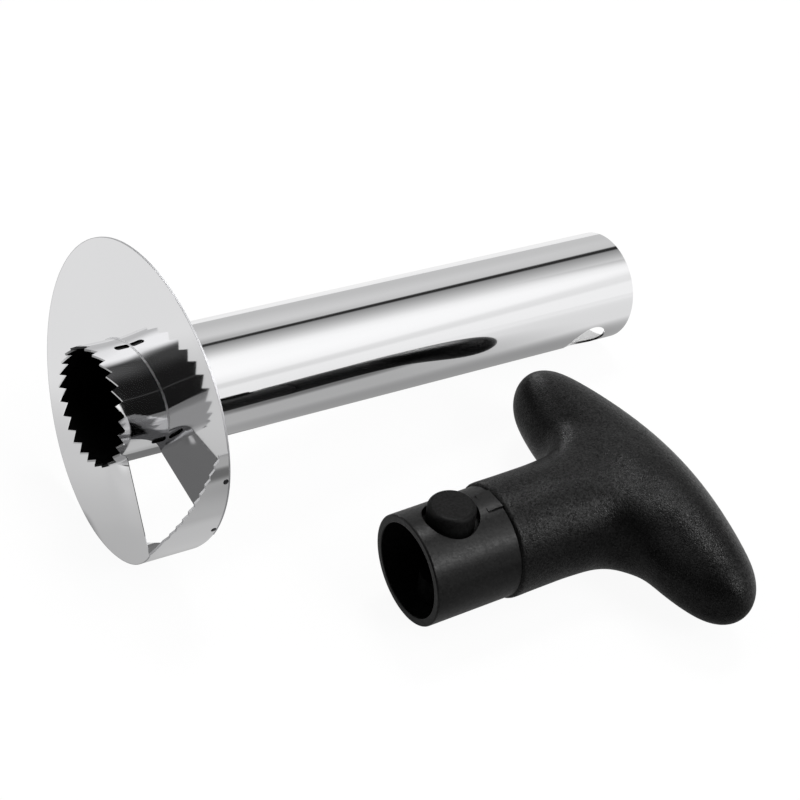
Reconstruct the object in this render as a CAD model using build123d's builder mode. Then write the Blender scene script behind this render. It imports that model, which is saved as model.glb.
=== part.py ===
"""Pineapple slicer: a coring tube with a spiral slicing disc, and the T handle that plugs into it.

Two groups lie side by side on a flat surface. The slicer rests on its disc's rim and the tube's plain end.
The handle rests on its round stem and on its crossbar, with the release button up.
Each group is modelled along its own axis first and then laid down. Millimetres, +Z up.
"""
from build123d import *
from math import atan2, cos, pi, radians, sin
import os

os.makedirs("parts", exist_ok=True)

# Slicer, measured along the tube from its plain end
tube_r = 16.5            # outside of the coring tube
tube_wall = 0.6
tube_length = 179.8      # plain end to the tips of the crown's teeth
crown_teeth = 25
tooth_depth = 2.2
tooth_steep_share = 0.2  # part of a tooth's pitch taken by its steep side
tooth_start_deg = 2.9    # angle of one tooth's tip, from the tube's top
catch_hole_deg = -123.0  # the release button comes up through the catch hole
slot_width = 1.9         # relief slots just in front of the disc
slot_length = 4.4
slot_degs = (5.0, -100.0)

disc_r = 43.8
disc_t = 0.8
edge_t = 0.25            # what is left of the sheet at the ground cutting edge
edge_bevel = 3.0         # how far back the grinding runs
disc_start_deg = (-123.0, -116.6)    # trailing edge: at the tube, at the rim
disc_end_deg = 239.4                 # cutting edge
disc_setback = 18.3     # the disc's rearmost point on its front face, behind the crown's tips
disc_rise = 18.0         # from there to the tip of the cutting edge
# the disc's front face at equal steps of angle, as shares of the rise: at the tube, at the rim
disc_step_deg = 30.0
disc_first_deg = -90.0
disc_start_shares = (0.150, 0.0)
disc_shares = (
    (0.161, 0.061),
    (0.217, 0.178),
    (0.300, 0.289),
    (0.367, 0.344),
    (0.400, 0.350),
    (0.389, 0.350),
    (0.372, 0.372),
    (0.406, 0.428),
    (0.528, 0.533),
    (0.706, 0.656),
    (0.817, 0.794),
)
disc_end_shares = (0.733, 1.0)

band_t = 0.7             # the upright side blade that follows the rim
band_tail_deg = 190.0    # where its slanted tail leaves the turn in front
band_tail_foot_deg = 203.0
band_teeth_from_deg = 249.4
band_tip_deg = 284.0     # where it runs out on the turn behind
band_teeth = 10
band_tooth_depth = 0.7
band_teeth_from_share = 0.917        # height of the front edge there, as a share of the disc's rise
band_tip_share = 0.261
band_joins_deg = 243.4   # the turn behind begins here, at the rim
band_tail_end = 1.0      # height left at the tail's end
band_gullet_share = 0.55
weld_leg = 0.35          # bead along the joint of disc and tube
weld_lift = 0.12         # clear of the disc's curved face
spot_r = 0.8             # spot welds of the band
spot_t = 0.3
spot_degs = (-87.0, -112.0)
seat_gap = 0.03          # parts that are welded together, just clear of each other

# How the sheet parts are divided and trimmed
turn = 360.0
cut_over = 2 * tube_wall # cutters reach this far past the metal
loft_over = 1.5          # sheet beyond its two edges before they are trimmed
band_tail_steps = 3
band_under_steps = 8
band_step_deg = 0.2      # from the disc's cutting edge to the band's upright free end

# Handle, measured along it from the plug's mouth
plug_gap = 0.3           # round the plug in the tube
plug_lip = 0.45
plug_wall = 2.3
plug_floor = 2.8
shaft_r = 11.0           # the core's part inside the grip
shaft_bite = 1.0         # how far the shaft reaches into the crossbar
crossbar_r = 5.5
crossbar_half = 38.0
collar_r = 16.4          # flush with the tube
collar_round = 0.6
rib_width = 7.0          # raised rib between button and grip
rib_length = 4.4
rib_height = 0.25        # takes up the play in the tube

bar_from_collar = 47.9   # centreline of the crossbar at the middle
bar_half = 52.3          # half of its whole length
bar_bow = 3.5            # how far the centreline falls back, by the square and the fourth power
bar_unbow = 2.2
bar_bow_ref = 50.0
bar_a_mid = 16.2         # half widths, along the handle's axis
bar_a_end = 7.8
bar_b_mid = 15.0         # half thicknesses
bar_b_end = 9.4
bar_cap_power = 12.0     # bluntness of the rounded ends
bar_drop = 0.3
bar_section_shares = (0.0, 0.3, 0.55, 0.75, 0.86, 0.93, 0.97, 0.99, 0.998)
stem_length = 14.0       # the round stem, from the collar's face
# the stem widens into the crossbar: share of the way, half width and half thickness as shares of the collar
stem_flare_shares = (
    (0.433, 1.018, 0.994),
    (0.536, 1.080, 0.976),
    (0.619, 1.220, 0.963),
    (0.680, 1.470, 0.945),
    (0.742, 1.850, 0.927),
    (1.0, 1.800, 0.902),
)

button_r = 6.6
button_at = 12.0         # centre of the button, from the mouth
button_from_collar = 14.0
button_proud = 3.2       # its face, above the plug
button_round = 1.3
button_hole_gap = 1.2    # round the button in the plug
catch_gap = 0.3          # round the button in the tube
catch_play = 0.2         # lengthwise, before the collar meets the tube
flange_half = 8.6        # flange that keeps it in, along and across
flange_foot = 8.2        # its lower face, from the handle's axis
flange_gap = 0.15        # between the flange's curved back and the bore's wall
spring_pocket_r = 4.7
spring_pocket_depth = 5.0
button_stroke = 3.6

spring_r = 3.7           # coil, to the wire's centre
spring_wire_r = 0.35
spring_turns = 5
spring_gap = 0.05
seat_r = 6.5             # saddle at the foot of the spring
seat_top = -5.0          # its upper face, from the handle's axis
seat_peg_r = 2.6
seat_peg_h = 2.2

# Where the two groups lie
handle_x = 123.66        # the mouth's centre, seen from above, from the middle of the tube's plain end
handle_y = 73.83
handle_yaw_deg = 176.2               # direction of the handle's axis, from the mouth to the grip

# The tube leans so that the rim of the disc and the lip of the plain end both touch the ground.
tube_bore_r = tube_r - tube_wall
catch_hole_r = button_r + catch_gap
catch_hole_at = button_from_collar - catch_play
disc_low = tube_length - disc_setback
disc_heights = [[disc_low + share * disc_rise for share in pair] for pair in disc_shares]
disc_start_heights = [disc_low + share * disc_rise for share in disc_start_shares]
disc_end_heights = [disc_low + share * disc_rise for share in disc_end_shares]
band_foot_height = disc_low - disc_t
band_front_at_teeth = disc_low + band_teeth_from_share * disc_rise
band_front_at_tip = disc_low + band_tip_share * disc_rise
lowest_step = round((180 - disc_first_deg) / disc_step_deg)
rim_low_height = disc_heights[lowest_step][1] - disc_t
tilt = atan2(disc_r - tube_r, rim_low_height)
tooth_pitch = 2 * pi * tube_r / crown_teeth
band_pitch_deg = (band_tip_deg - band_teeth_from_deg) / band_teeth
slicer_place = Plane(
    origin=(0, 0, tube_r * cos(tilt)),
    x_dir=(-sin(tilt), 0, cos(tilt)),
    z_dir=(cos(tilt), 0, sin(tilt)),
)

# The handle leans on the end of its round stem and on the middle of its crossbar.
plug_r = tube_bore_r - plug_gap
plug_length = button_at + button_from_collar
bore_r = plug_r - plug_wall
bore_depth = plug_length - plug_floor
bar_at = plug_length + bar_from_collar
stem_end = plug_length + stem_length
button_top = plug_r + button_proud
button_hole_r = button_r + button_hole_gap
bar_low = bar_b_mid + bar_drop
pitch = atan2(collar_r - bar_low, bar_at - stem_end)
yaw = radians(handle_yaw_deg)
handle_place = Plane(
    origin=(handle_x, handle_y, collar_r * cos(pitch) + stem_end * sin(pitch)),
    x_dir=(sin(pitch) * cos(yaw), sin(pitch) * sin(yaw), cos(pitch)),
    z_dir=(cos(pitch) * cos(yaw), cos(pitch) * sin(yaw), -sin(pitch)),
)


def polar(radius, angle_deg):
    """A point on a circle about the group's axis."""
    return Vector(radius * cos(radians(angle_deg)), radius * sin(radians(angle_deg)))


def upright_plane(near, far):
    """The plane of the group's axis direction and the line from near to far, with its origin at near."""
    along = (far - near).normalized()
    return Plane(origin=near, x_dir=along, z_dir=(along.Y, -along.X, 0))


# Coring tube: plain at one end, saw teeth round the other.
with BuildPart() as tooth_gap:
    with BuildSketch(Plane.YZ.offset(tube_bore_r - tube_wall)):
        with BuildLine():
            Polyline(
                (-tooth_pitch / 2, tube_length + cut_over),
                (-tooth_pitch / 2, tube_length),
                (-tooth_pitch / 2 + tooth_pitch * tooth_steep_share, tube_length - tooth_depth),
                (tooth_pitch / 2, tube_length),
                (tooth_pitch / 2, tube_length + cut_over),
                close=True,
            )
        make_face()
    extrude(amount=tube_wall * 3)

with BuildPart() as core_tube:
    with BuildSketch():
        Circle(tube_r)
        Circle(tube_bore_r, mode=Mode.SUBTRACT)
    extrude(amount=tube_length)
    with PolarLocations(0, crown_teeth, start_angle=tooth_start_deg + 180 / crown_teeth):
        add(tooth_gap.part, mode=Mode.SUBTRACT)
    with Locations(Plane(
        origin=polar(tube_r, catch_hole_deg) + Vector(0, 0, catch_hole_at),
        x_dir=(0, 0, 1),
        z_dir=polar(1, catch_hole_deg),
    )):
        Cylinder(catch_hole_r, tube_r, mode=Mode.SUBTRACT)
    for slot_deg in slot_degs:
        step_below = max(int((slot_deg - disc_first_deg) / disc_step_deg), 0)
        slot_foot = disc_heights[step_below][0] + weld_leg
        with BuildSketch(Plane(
            origin=polar(tube_bore_r - tube_wall, slot_deg) + Vector(0, 0, slot_foot + slot_length / 2),
            x_dir=(0, 0, 1),
            z_dir=polar(1, slot_deg),
        )):
            SlotOverall(slot_length, slot_width)
        extrude(amount=tube_wall * 3, mode=Mode.SUBTRACT)

# Slicing disc: one turn of sheet that climbs from its trailing edge to its cutting edge.
stations = [(*disc_start_deg, *disc_start_heights)]
for number, heights in enumerate(disc_heights):
    station_deg = disc_first_deg + number * disc_step_deg
    stations.append((station_deg, station_deg, *heights))
stations.append((disc_end_deg, disc_end_deg, *disc_end_heights))
with BuildPart() as slicing_disc:
    for inner_deg, outer_deg, inner_height, outer_height in stations:
        near = polar(tube_r, inner_deg)
        far = polar(disc_r, outer_deg)
        width = (far - near).length
        slope = (outer_height - inner_height) / width
        with BuildSketch(upright_plane(near, far)):
            with BuildLine():
                Polyline(
                    (-loft_over, inner_height - slope * loft_over - disc_t),
                    (width + loft_over, outer_height + slope * loft_over - disc_t),
                    (width + loft_over, outer_height + slope * loft_over),
                    (-loft_over, inner_height - slope * loft_over),
                    close=True,
                )
            make_face()
    loft()
    with BuildSketch():
        Circle(disc_r)
        Circle(tube_r, mode=Mode.SUBTRACT)
    extrude(amount=tube_length + disc_r, mode=Mode.INTERSECT)
    cut_face = slicing_disc.faces().filter_by(GeomType.PLANE).sort_by(Axis.Z)[-1]
    rear_corner = cut_face.edges().sort_by(SortBy.LENGTH)[-2:].sort_by(Axis.Z)[0]
    chamfer(rear_corner, length=disc_t - edge_t, length2=edge_bevel, reference=cut_face)

# Side blade: an upright strip of the rim's radius, from behind the cutting edge to its run-out.
def rim_height(angle_deg):
    """Height of the disc's front face at the rim, straight between the stations."""
    last_deg, last_height = stations[0][1], stations[0][3]
    for station in stations[1:]:
        if angle_deg <= station[1]:
            share = (angle_deg - last_deg) / (station[1] - last_deg)
            return last_height + share * (station[3] - last_height)
        last_deg, last_height = station[1], station[3]
    return last_height


def rear_edge(angle_deg):
    """Height of the side blade's rear edge: a slanted tail, a free foot, then the turn behind."""
    if angle_deg < band_tail_foot_deg:
        share = (angle_deg - band_tail_deg) / (band_tail_foot_deg - band_tail_deg)
        start = rim_height(band_tail_deg) - disc_t - band_tail_end
        return start + share * (band_foot_height - start)
    behind = band_joins_deg
    if angle_deg < behind:
        share = (angle_deg - band_tail_foot_deg) / (behind - band_tail_foot_deg)
        return band_foot_height + share * (rim_height(behind - turn) - disc_t / 2 - band_foot_height)
    return rim_height(angle_deg - turn) - disc_t / 2


def front_edge(angle_deg):
    """Height of the side blade's front edge: under the turn in front, then free and falling."""
    if angle_deg <= disc_end_deg:
        return rim_height(angle_deg) - disc_t / 2
    if angle_deg <= band_teeth_from_deg:
        share = (angle_deg - disc_end_deg) / (band_teeth_from_deg - disc_end_deg)
        return disc_end_heights[1] + share * (band_front_at_teeth - disc_end_heights[1])
    share = (angle_deg - band_teeth_from_deg) / (band_tip_deg - band_teeth_from_deg)
    return band_front_at_teeth + share * (band_front_at_tip - band_front_at_teeth)


band_rows = []
for step in range(band_tail_steps):
    angle = band_tail_deg + step / band_tail_steps * (band_tail_foot_deg - band_tail_deg)
    band_rows.append((angle, front_edge(angle)))
for step in range(band_under_steps + 1):
    share = step / band_under_steps
    angle = band_tail_foot_deg + share * (disc_end_deg - band_step_deg - band_tail_foot_deg)
    band_rows.append((angle, front_edge(angle)))
band_rows.append((disc_end_deg + band_step_deg, disc_end_heights[1]))
for tooth in range(band_teeth):
    tip_deg = band_teeth_from_deg + tooth * band_pitch_deg
    band_rows.append((tip_deg, front_edge(tip_deg)))
    gullet_deg = tip_deg + band_pitch_deg * band_gullet_share
    band_rows.append((gullet_deg, front_edge(gullet_deg) - band_tooth_depth))
band_rows.append((band_tip_deg, front_edge(band_tip_deg)))

with BuildPart() as rim_band:
    for angle, high in band_rows:
        near = polar(disc_r - 3 * band_t, angle)
        far = polar(disc_r + 3 * band_t, angle)
        low = rear_edge(angle)
        with BuildSketch(upright_plane(near, far)):
            with BuildLine():
                Polyline((0, low), (6 * band_t, low), (6 * band_t, high), (0, high), close=True)
            make_face()
    loft(ruled=True)
    with BuildSketch():
        Circle(disc_r)
        Circle(disc_r - band_t, mode=Mode.SUBTRACT)
    extrude(amount=tube_length + disc_r, mode=Mode.INTERSECT)
    add(slicing_disc.part, mode=Mode.SUBTRACT)

# Bead of weld in the corner between the tube and the front face of the disc.
with BuildPart() as seam_weld:
    for inner_deg, outer_deg, inner_height, outer_height in stations[1:-1]:
        near = polar(tube_r, inner_deg)
        far = polar(disc_r, outer_deg)
        slope = (outer_height - inner_height) / (disc_r - tube_r)
        with BuildSketch(upright_plane(near, far)):
            with BuildLine():
                Polyline(
                    (-weld_leg, inner_height + weld_lift),
                    (weld_leg, inner_height + slope * weld_leg + weld_lift),
                    (weld_leg / 3, inner_height + weld_leg / 3 + weld_lift),
                    (seat_gap, inner_height + weld_leg + weld_lift),
                    (-weld_leg, inner_height + weld_leg + weld_lift),
                    close=True,
                )
            make_face()
    loft()
    with BuildSketch():
        Circle(tube_r + seat_gap)
    extrude(amount=tube_length, mode=Mode.SUBTRACT)

# Spot welds that hold the side blade's foot to the turn behind, on its outer face.
with BuildPart() as spot_welds:
    for spot_deg in spot_degs:
        spot_height = rim_height(spot_deg) + spot_r
        with BuildSketch(Plane(
            origin=polar(disc_r - spot_t, spot_deg) + Vector(0, 0, spot_height),
            x_dir=(0, 0, 1),
            z_dir=polar(1, spot_deg),
        )):
            Circle(spot_r)
        extrude(amount=2 * spot_t)
    with BuildSketch():
        Circle(disc_r + seat_gap)
    extrude(amount=tube_length, mode=Mode.SUBTRACT)

# Handle core: the hollow plug, and the shaft and crossbar that stiffen the grip from inside.
with BuildPart() as handle_core:
    with BuildSketch():
        Circle(plug_r)
    extrude(amount=plug_length)
    with BuildSketch():
        Circle(bore_r)
    extrude(amount=bore_depth, mode=Mode.SUBTRACT)
    fillet(handle_core.edges().filter_by(GeomType.CIRCLE).group_by(Axis.Z)[0], plug_lip)
    with BuildSketch(Plane.XZ.offset(-rib_width / 2)):
        with BuildLine():
            Polyline(
                (bore_r + rib_height, plug_length - rib_length),
                (plug_r - rib_height / 4, plug_length - rib_length),
                (plug_r + rib_height, plug_length - rib_length / 2),
                (plug_r + rib_height, plug_length),
                (bore_r + rib_height, plug_length),
                close=True,
            )
        make_face()
    extrude(amount=rib_width)
    with BuildSketch(Plane.YZ):
        with Locations((0, button_at)):
            Circle(button_hole_r)
    extrude(amount=plug_r + rib_height, mode=Mode.SUBTRACT)
    with BuildSketch(Plane.XY.offset(plug_length)):
        Circle(shaft_r)
    extrude(amount=bar_from_collar - crossbar_r + shaft_bite)
    with BuildSketch(Plane.XZ.offset(-crossbar_half)):
        with Locations((0, bar_at)):
            Circle(crossbar_r)
    extrude(amount=2 * crossbar_half)

# Grip: the round stem widens into a crossbar that bows a little and thins towards its rounded ends.
with BuildPart() as grip:
    with BuildSketch(Plane.XY.offset(plug_length)):
        Circle(collar_r)
    extrude(amount=stem_end - plug_length)
    fillet(grip.edges().filter_by(GeomType.CIRCLE).group_by(Axis.Z)[0], collar_round)
    with BuildSketch(Plane.XY.offset(stem_end)):
        Circle(collar_r)
    for along_share, width_share, thickness_share in stem_flare_shares:
        with BuildSketch(Plane.XY.offset(plug_length + along_share * bar_from_collar)):
            Ellipse(thickness_share * collar_r, width_share * collar_r)
    loft()
    shares = [-share for share in reversed(bar_section_shares[1:])] + list(bar_section_shares)
    for share in shares:
        across = share * bar_half
        bow = (across / bar_bow_ref) ** 2
        centre_at = bar_at - bar_bow * bow + bar_unbow * bow ** 2
        cap = (1 - abs(share) ** bar_cap_power) ** 0.5
        half_width = (bar_a_mid + (bar_a_end - bar_a_mid) * share ** 2) * cap
        half_thickness = (bar_b_mid + (bar_b_end - bar_b_mid) * share ** 2) * cap
        with BuildSketch(Plane(origin=(-bar_drop, across, centre_at), x_dir=(1, 0, 0), z_dir=(0, 1, 0))):
            Ellipse(half_thickness, half_width)
    loft()
    add(handle_core.part, mode=Mode.SUBTRACT)

# Release button: a round stem on a flange whose back follows the bore's wall, with a pocket for the spring.
with BuildPart() as release_button:
    with BuildSketch(Plane.XY.offset(button_at - flange_half)):
        Circle(bore_r - flange_gap)
        with Locations((flange_foot + bore_r / 2, 0)):
            Rectangle(bore_r, 2 * flange_half, mode=Mode.INTERSECT)
    extrude(amount=2 * flange_half)
    with BuildSketch(Plane.YZ.offset(flange_foot)):
        with Locations((0, button_at)):
            Circle(button_r)
    extrude(amount=button_top - flange_foot)
    fillet(release_button.edges().filter_by(GeomType.CIRCLE).sort_by(Axis.X)[-1], button_round)
    with BuildSketch(Plane.YZ.offset(flange_foot)):
        with Locations((0, button_at)):
            Circle(spring_pocket_r)
    extrude(amount=spring_pocket_depth, mode=Mode.SUBTRACT)

# Spring seat: a saddle in the bore opposite the button, with a peg inside the spring's foot.
with BuildPart() as spring_seat:
    with BuildSketch(Plane.YZ.offset(-bore_r)):
        with Locations((0, button_at)):
            Circle(seat_r)
    extrude(amount=bore_r + seat_top)
    with BuildSketch():
        Circle(bore_r - seat_gap)
    extrude(amount=plug_length, mode=Mode.INTERSECT)
    with BuildSketch(Plane.YZ.offset(seat_top)):
        with Locations((0, button_at)):
            Circle(seat_peg_r)
    extrude(amount=seat_peg_h)

# Button spring: one coil between the seat and the roof of the button's pocket.
spring_low = seat_top + spring_wire_r + spring_gap
spring_high = flange_foot + spring_pocket_depth - spring_wire_r - spring_gap
spring_pitch = (spring_high - spring_low) / spring_turns
with BuildPart() as button_spring:
    with BuildLine() as coil:
        Helix(
            spring_pitch,
            spring_high - spring_low,
            spring_r,
            center=(spring_low, 0, button_at),
            direction=(1, 0, 0),
        )
    with BuildSketch(Plane(origin=coil.line @ 0, z_dir=coil.line % 0)):
        Circle(spring_wire_r)
    sweep(is_frenet=True)
print("spring: least gap between neighbouring turns", round(spring_pitch - 2 * spring_wire_r, 2))

# Each group is laid down and set on the ground. Then both move together: the origin is under the middle.
slicer_parts = {
    "core_tube": core_tube.part,
    "slicing_disc": slicing_disc.part,
    "rim_band": rim_band.part,
    "seam_weld": seam_weld.part,
    "spot_welds": spot_welds.part,
}
handle_parts = {
    "handle_core": handle_core.part,
    "grip": grip.part,
    "spring_seat": spring_seat.part,
    "release_button": release_button.part,
    "button_spring": button_spring.part,
}
laid = {}
lifts = []
for place, group in ((slicer_place, slicer_parts), (handle_place, handle_parts)):
    flat = {name: place.location * part for name, part in group.items()}
    ground = min(part.bounding_box().min.Z for part in flat.values())
    lifts.append(-ground)
    for name, part in flat.items():
        laid[name] = Pos(0, 0, -ground) * part

boxes = [part.bounding_box() for part in laid.values()]
middle_x = (min(box.min.X for box in boxes) + max(box.max.X for box in boxes)) / 2
middle_y = (min(box.min.Y for box in boxes) + max(box.max.Y for box in boxes)) / 2
for name, part in laid.items():
    centred = Pos(-middle_x, -middle_y, 0) * part
    centred.label = name
    export_step(centred, f"parts/{name}.step")
    print(name, "volume", round(centred.volume, 1))
for name, place, lift in (("slicer", slicer_place, lifts[0]), ("handle", handle_place, lifts[1])):
    origin = Vector(*place.origin) + Vector(-middle_x, -middle_y, lift)
    print(name, "origin", [round(v, 4) for v in origin], "along", [round(v, 6) for v in place.z_dir],
          "up", [round(v, 6) for v in place.x_dir])
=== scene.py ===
"""Pineapple slicer: the looks of the steel coring tube with its spiral disc, and of the black T handle."""

from math import atan2, cos, pi, radians, sin

import bmesh
import bpy
from mathutils import Matrix, Vector


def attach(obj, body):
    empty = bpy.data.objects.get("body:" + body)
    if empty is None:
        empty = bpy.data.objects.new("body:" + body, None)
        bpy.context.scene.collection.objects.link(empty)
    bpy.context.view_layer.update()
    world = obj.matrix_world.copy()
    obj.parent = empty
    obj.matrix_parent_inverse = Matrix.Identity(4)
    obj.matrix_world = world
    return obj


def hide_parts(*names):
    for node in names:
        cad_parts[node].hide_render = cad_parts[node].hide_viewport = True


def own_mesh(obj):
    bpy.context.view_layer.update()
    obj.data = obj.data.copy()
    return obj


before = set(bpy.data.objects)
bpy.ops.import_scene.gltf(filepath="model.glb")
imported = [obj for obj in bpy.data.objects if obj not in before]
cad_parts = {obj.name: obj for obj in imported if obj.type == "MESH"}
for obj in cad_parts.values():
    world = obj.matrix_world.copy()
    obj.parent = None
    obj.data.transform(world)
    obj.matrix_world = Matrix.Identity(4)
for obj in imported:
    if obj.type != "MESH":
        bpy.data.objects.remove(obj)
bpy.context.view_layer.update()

MM = 0.001

# The slicer's own frame: its origin is the middle of the tube's plain end, z runs to the crown, x up.
tube_along = Vector((0.987708, 0.0, 0.156308))
tube_up = Vector((-0.156308, 0.0, 0.987708))
tube_origin = Vector((-89.0998, -43.5027, 16.3023)) * MM

# The handle's own frame: its origin is the middle of the plug's mouth, z runs to the grip, x up.
handle_along = Vector((-0.997277, 0.066239, -0.032431))
handle_up = Vector((-0.03236, 0.002149, 0.999474))
handle_origin = Vector((34.5602, 30.3273, 17.9632)) * MM

# Sheet parts, in millimetres and degrees, as they were made
TUBE_R, TUBE_WALL, TUBE_LENGTH = 16.5, 0.6, 179.8
CROWN_TEETH, TOOTH_DEPTH, TOOTH_START, TOOTH_STEPS = 25, 2.2, 2.9, 5
CATCH_R, CATCH_AT, CATCH_DEG = 6.9, 13.8, -123.0
SLOT_WIDTH, SLOT_LENGTH, SLOT_PROUD = 1.9, 4.4, 0.12
SLOTS = ((5.0, 4), (-100.0, 1))          # angle, and the station of the disc that the slot stands on
SLOTS_LIE = (150, TUBE_LENGTH - 3.5)     # the stretch of the tube that has the slots in it
DISC_R, DISC_T, EDGE_T, EDGE_BEVEL = 43.8, 0.5, 0.2, 3.0
DISC_STEPS_ROUND, DISC_STEPS_OUT = 480, 14
DISC_LOW, DISC_RISE = TUBE_LENGTH - 18.3, 18.0
RIM_BURR = 0.15                          # width of the sheared edge on the disc's face
GROUND_FROM = 0.6                        # share of the rise above which the disc's end is ground
TRAILING_SLANT_DEG = 33.0                # over this angle the slant of the trailing edge fades out
# angle at the tube, angle at the rim, share of the rise at the tube, share at the rim
DISC_STATIONS = (
    (-123.0, -116.6, 0.150, 0.0),
    (-90.0, -90.0, 0.161, 0.061),
    (-60.0, -60.0, 0.217, 0.178),
    (-30.0, -30.0, 0.300, 0.289),
    (0.0, 0.0, 0.367, 0.344),
    (30.0, 30.0, 0.400, 0.350),
    (60.0, 60.0, 0.389, 0.350),
    (90.0, 90.0, 0.372, 0.372),
    (120.0, 120.0, 0.406, 0.428),
    (150.0, 150.0, 0.528, 0.533),
    (180.0, 180.0, 0.706, 0.656),
    (210.0, 210.0, 0.817, 0.794),
    (239.4, 239.4, 0.733, 1.0),
)
BAND_T, BAND_TAIL, BAND_FOOT, BAND_JOINS = 0.7, 190.0, 203.0, 243.4
BAND_TAIL_DROP, BAND_SET_IN = 1.0, 0.01           # the tail's start under the disc, the face inside the rim
BAND_TEETH_FROM, BAND_TIP, BAND_TEETH, BAND_TOOTH_DEPTH = 249.4, 284.0, 10, 0.7
BAND_TEETH_HIGH, BAND_TEETH_LOW = 0.917, 0.261    # shares of the rise at the two ends of the toothed edge
BAND_TOOTH_LEAN = 0.55                            # where in a tooth's pitch its root lies
BAND_CORNER = (239.2, 239.6)                      # steps on both sides of the corner at the cutting edge
TAIL_STEPS, TOP_STEPS = 50, 10                    # steps before that corner, and from it to the teeth
BEAD_LEG, BEAD_SKIN, BEAD_FROM, BEAD_TURN = 0.35, 0.05, -90, 300
BEAD_WAVES = ((31, 0.08), (83, 0.05))             # ripples in a turn, and their share of the leg
SPOT_DEGS, SPOT_R, SPOT_FLATNESS = (-87.0, -112.0), 0.8, 0.3

# Handle, in millimetres
PLUG_R, PLUG_LENGTH, RIB_LENGTH = 15.6, 26.0, 4.4
PLUG_BORE_R = 13.3
GRIP_SKIN = 0.7                                   # how fine the grip's skin is
INNER_CORNER, CORNER_REACH, CORNER_IN = (58.0, 22.0), 10.0, 1.6
SOFT_FROM, SOFT_UNTIL = (28.0, 34.0), (34.0, 46.0)    # along the stem, and out along the arms

# The drawn tube is bright as far as the plug goes in, and painted dark from here on with the shade deep in
# the bore.
BORE_SHADE_FROM = 45.0
SIZED_BORE, BORE_SHADE_GREY = "E7E7E7", "303030"
DEEP_BLACK, PALE_BLACK = "070707", "101010"


def own_frame(origin, up, along):
    """The matrix that carries a group's own frame to where it lies."""
    side = along.cross(up)
    return Matrix((
        (up.x, side.x, along.x, origin.x),
        (up.y, side.y, along.y, origin.y),
        (up.z, side.z, along.z, origin.z),
        (0, 0, 0, 1),
    ))


slicer_frame = own_frame(tube_origin, tube_up, tube_along)
handle_frame = own_frame(handle_origin, handle_up, handle_along)
to_handle = handle_frame.inverted()


def colour(code):
    """Linear colour of an sRGB hex code."""
    linear = []
    for start in (0, 2, 4):
        c = int(code[start:start + 2], 16) / 255
        linear.append(c / 12.92 if c <= 0.04045 else ((c + 0.055) / 1.055) ** 2.4)
    return (*linear, 1.0)


def add_node(tree, kind, settings=None, values=None, links=None):
    """Adds a node with its settings, its input values and the links into it."""
    made = tree.nodes.new(kind)
    for name, value in (settings or {}).items():
        setattr(made, name, value)
    for name, value in (values or {}).items():
        made.inputs[name].default_value = value
    for name, source in (links or {}).items():
        tree.links.new(source, made.inputs[name])
    return made


def new_material(name):
    """An empty material with a Principled shader on its output: (material, tree, shader)."""
    material = bpy.data.materials.new(name)
    material.use_nodes = True
    tree = material.node_tree
    tree.nodes.clear()
    shader = add_node(tree, "ShaderNodeBsdfPrincipled")
    add_node(tree, "ShaderNodeOutputMaterial", links={"Surface": shader.outputs["BSDF"]})
    return material, tree, shader


def metal(name, code, mark_size, rough, detail=2.0, fineness=0.5, contrast=(0.0, 1.0)):
    """A metal, rough in marks of a size in millimetres: (material, tree, shader, place, marks)."""
    material, tree, shader = new_material(name)
    shader.inputs["Base Color"].default_value = colour(code)
    shader.inputs["Metallic"].default_value = 1.0
    place = add_node(tree, "ShaderNodeTexCoord")
    marks = add_node(tree, "ShaderNodeTexNoise",
                     values={"Scale": 1 / (mark_size * MM), "Detail": detail, "Roughness": fineness},
                     links={"Vector": place.outputs["Object"]})
    gloss = add_node(tree, "ShaderNodeMapRange",
                     values={"From Min": contrast[0], "From Max": contrast[1],
                             "To Min": rough[0], "To Max": rough[1]},
                     links={"Value": marks.outputs["Fac"]})
    tree.links.new(gloss.outputs["Result"], shader.inputs["Roughness"])
    return material, tree, shader, place, marks


# Mirror-polished stainless sheet, 18/8 steel buffed after forming: clear reflections, with faint wipe marks
# 18 mm wide that spread them a little more in soft patches, and the sheet's slight waves, 36 mm long.
polished_steel, tree, shader, place, _ = metal(
    "polished_stainless", "E4E4E5", 18.182, (0.03, 0.075), detail=3.0, fineness=0.6, contrast=(0.3, 0.75))
waves = add_node(tree, "ShaderNodeTexNoise", values={"Scale": 1 / (35.714 * MM), "Detail": 1.0},
                 links={"Vector": place.outputs["Object"]})
rolled = add_node(tree, "ShaderNodeBump", values={"Strength": 0.02, "Distance": 1.0 * MM},
                  links={"Height": waves.outputs["Fac"]})
tree.links.new(rolled.outputs["Normal"], shader.inputs["Normal"])

# The drawn tube's inside: sized bright where the plug slides in, then dull and painted near black, the
# painted shade deep inside the bore; never polished. It has draw marks a few millimetres long.
drawn_steel_shaded, tree, shader, place, _ = metal("drawn_tube_inside", BORE_SHADE_GREY, 3.33, (0.3, 0.5), detail=4.0)
arm = add_node(tree, "ShaderNodeVectorMath", {"operation": "SUBTRACT"}, values={1: tube_origin},
               links={0: place.outputs["Object"]})
along = add_node(tree, "ShaderNodeVectorMath", {"operation": "DOT_PRODUCT"}, values={1: tube_along},
                 links={0: arm.outputs["Vector"]})
# Base colour runs from pale to near black along the bore: painted shade.
sized = add_node(tree, "ShaderNodeMapRange",
                 values={"From Min": PLUG_LENGTH * MM, "From Max": BORE_SHADE_FROM * MM,
                         "To Min": colour(SIZED_BORE)[0], "To Max": colour(BORE_SHADE_GREY)[0]},
                 links={"Value": along.outputs["Value"]})
tree.links.new(sized.outputs["Result"], shader.inputs["Base Color"])

# Edge of the sheet as the shears left it: rough, so it reads as a thin darker line round the disc. Its burr
# marks are finer than a render shows, and are drawn 0.83 mm wide.
sheared_edge = metal("sheared_steel_edge", "B4B4B6", 0.833, (0.35, 0.6))[0]

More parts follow.
